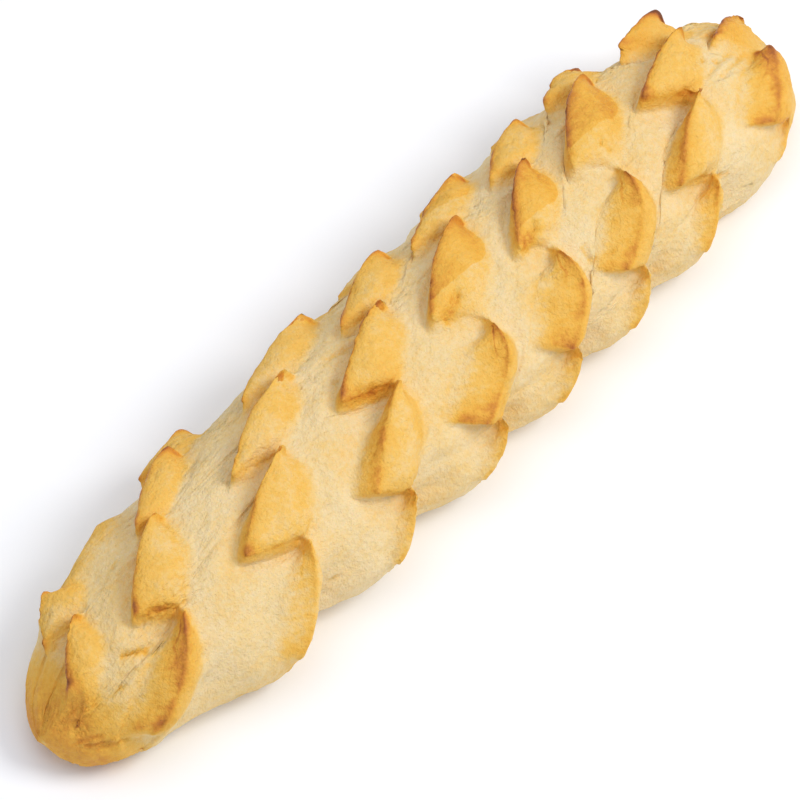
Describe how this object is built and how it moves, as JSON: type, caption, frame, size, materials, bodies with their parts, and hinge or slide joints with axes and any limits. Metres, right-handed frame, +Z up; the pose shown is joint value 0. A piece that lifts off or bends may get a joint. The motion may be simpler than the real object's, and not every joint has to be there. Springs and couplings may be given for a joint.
{
  "type": "baguette",
  "caption": "Short, blunt, scissor-cut baguette: a flat-bottomed loaf baked in one piece, its pale crust carrying slanting rows of raised, golden-tipped points",
  "frame": {"origin": "on the flat base, under the middle of the loaf's bounding box", "axes": "+X along the loaf towards the end that the points lean away from, +Y across it, +Z up through the crust"},
  "size_m": [0.36, 0.0862, 0.0557],
  "materials": {
    "baked_crust": null
  },
  "bodies": {
    "root": {"loaf": "baked_crust"}
  },
  "joints": []
}
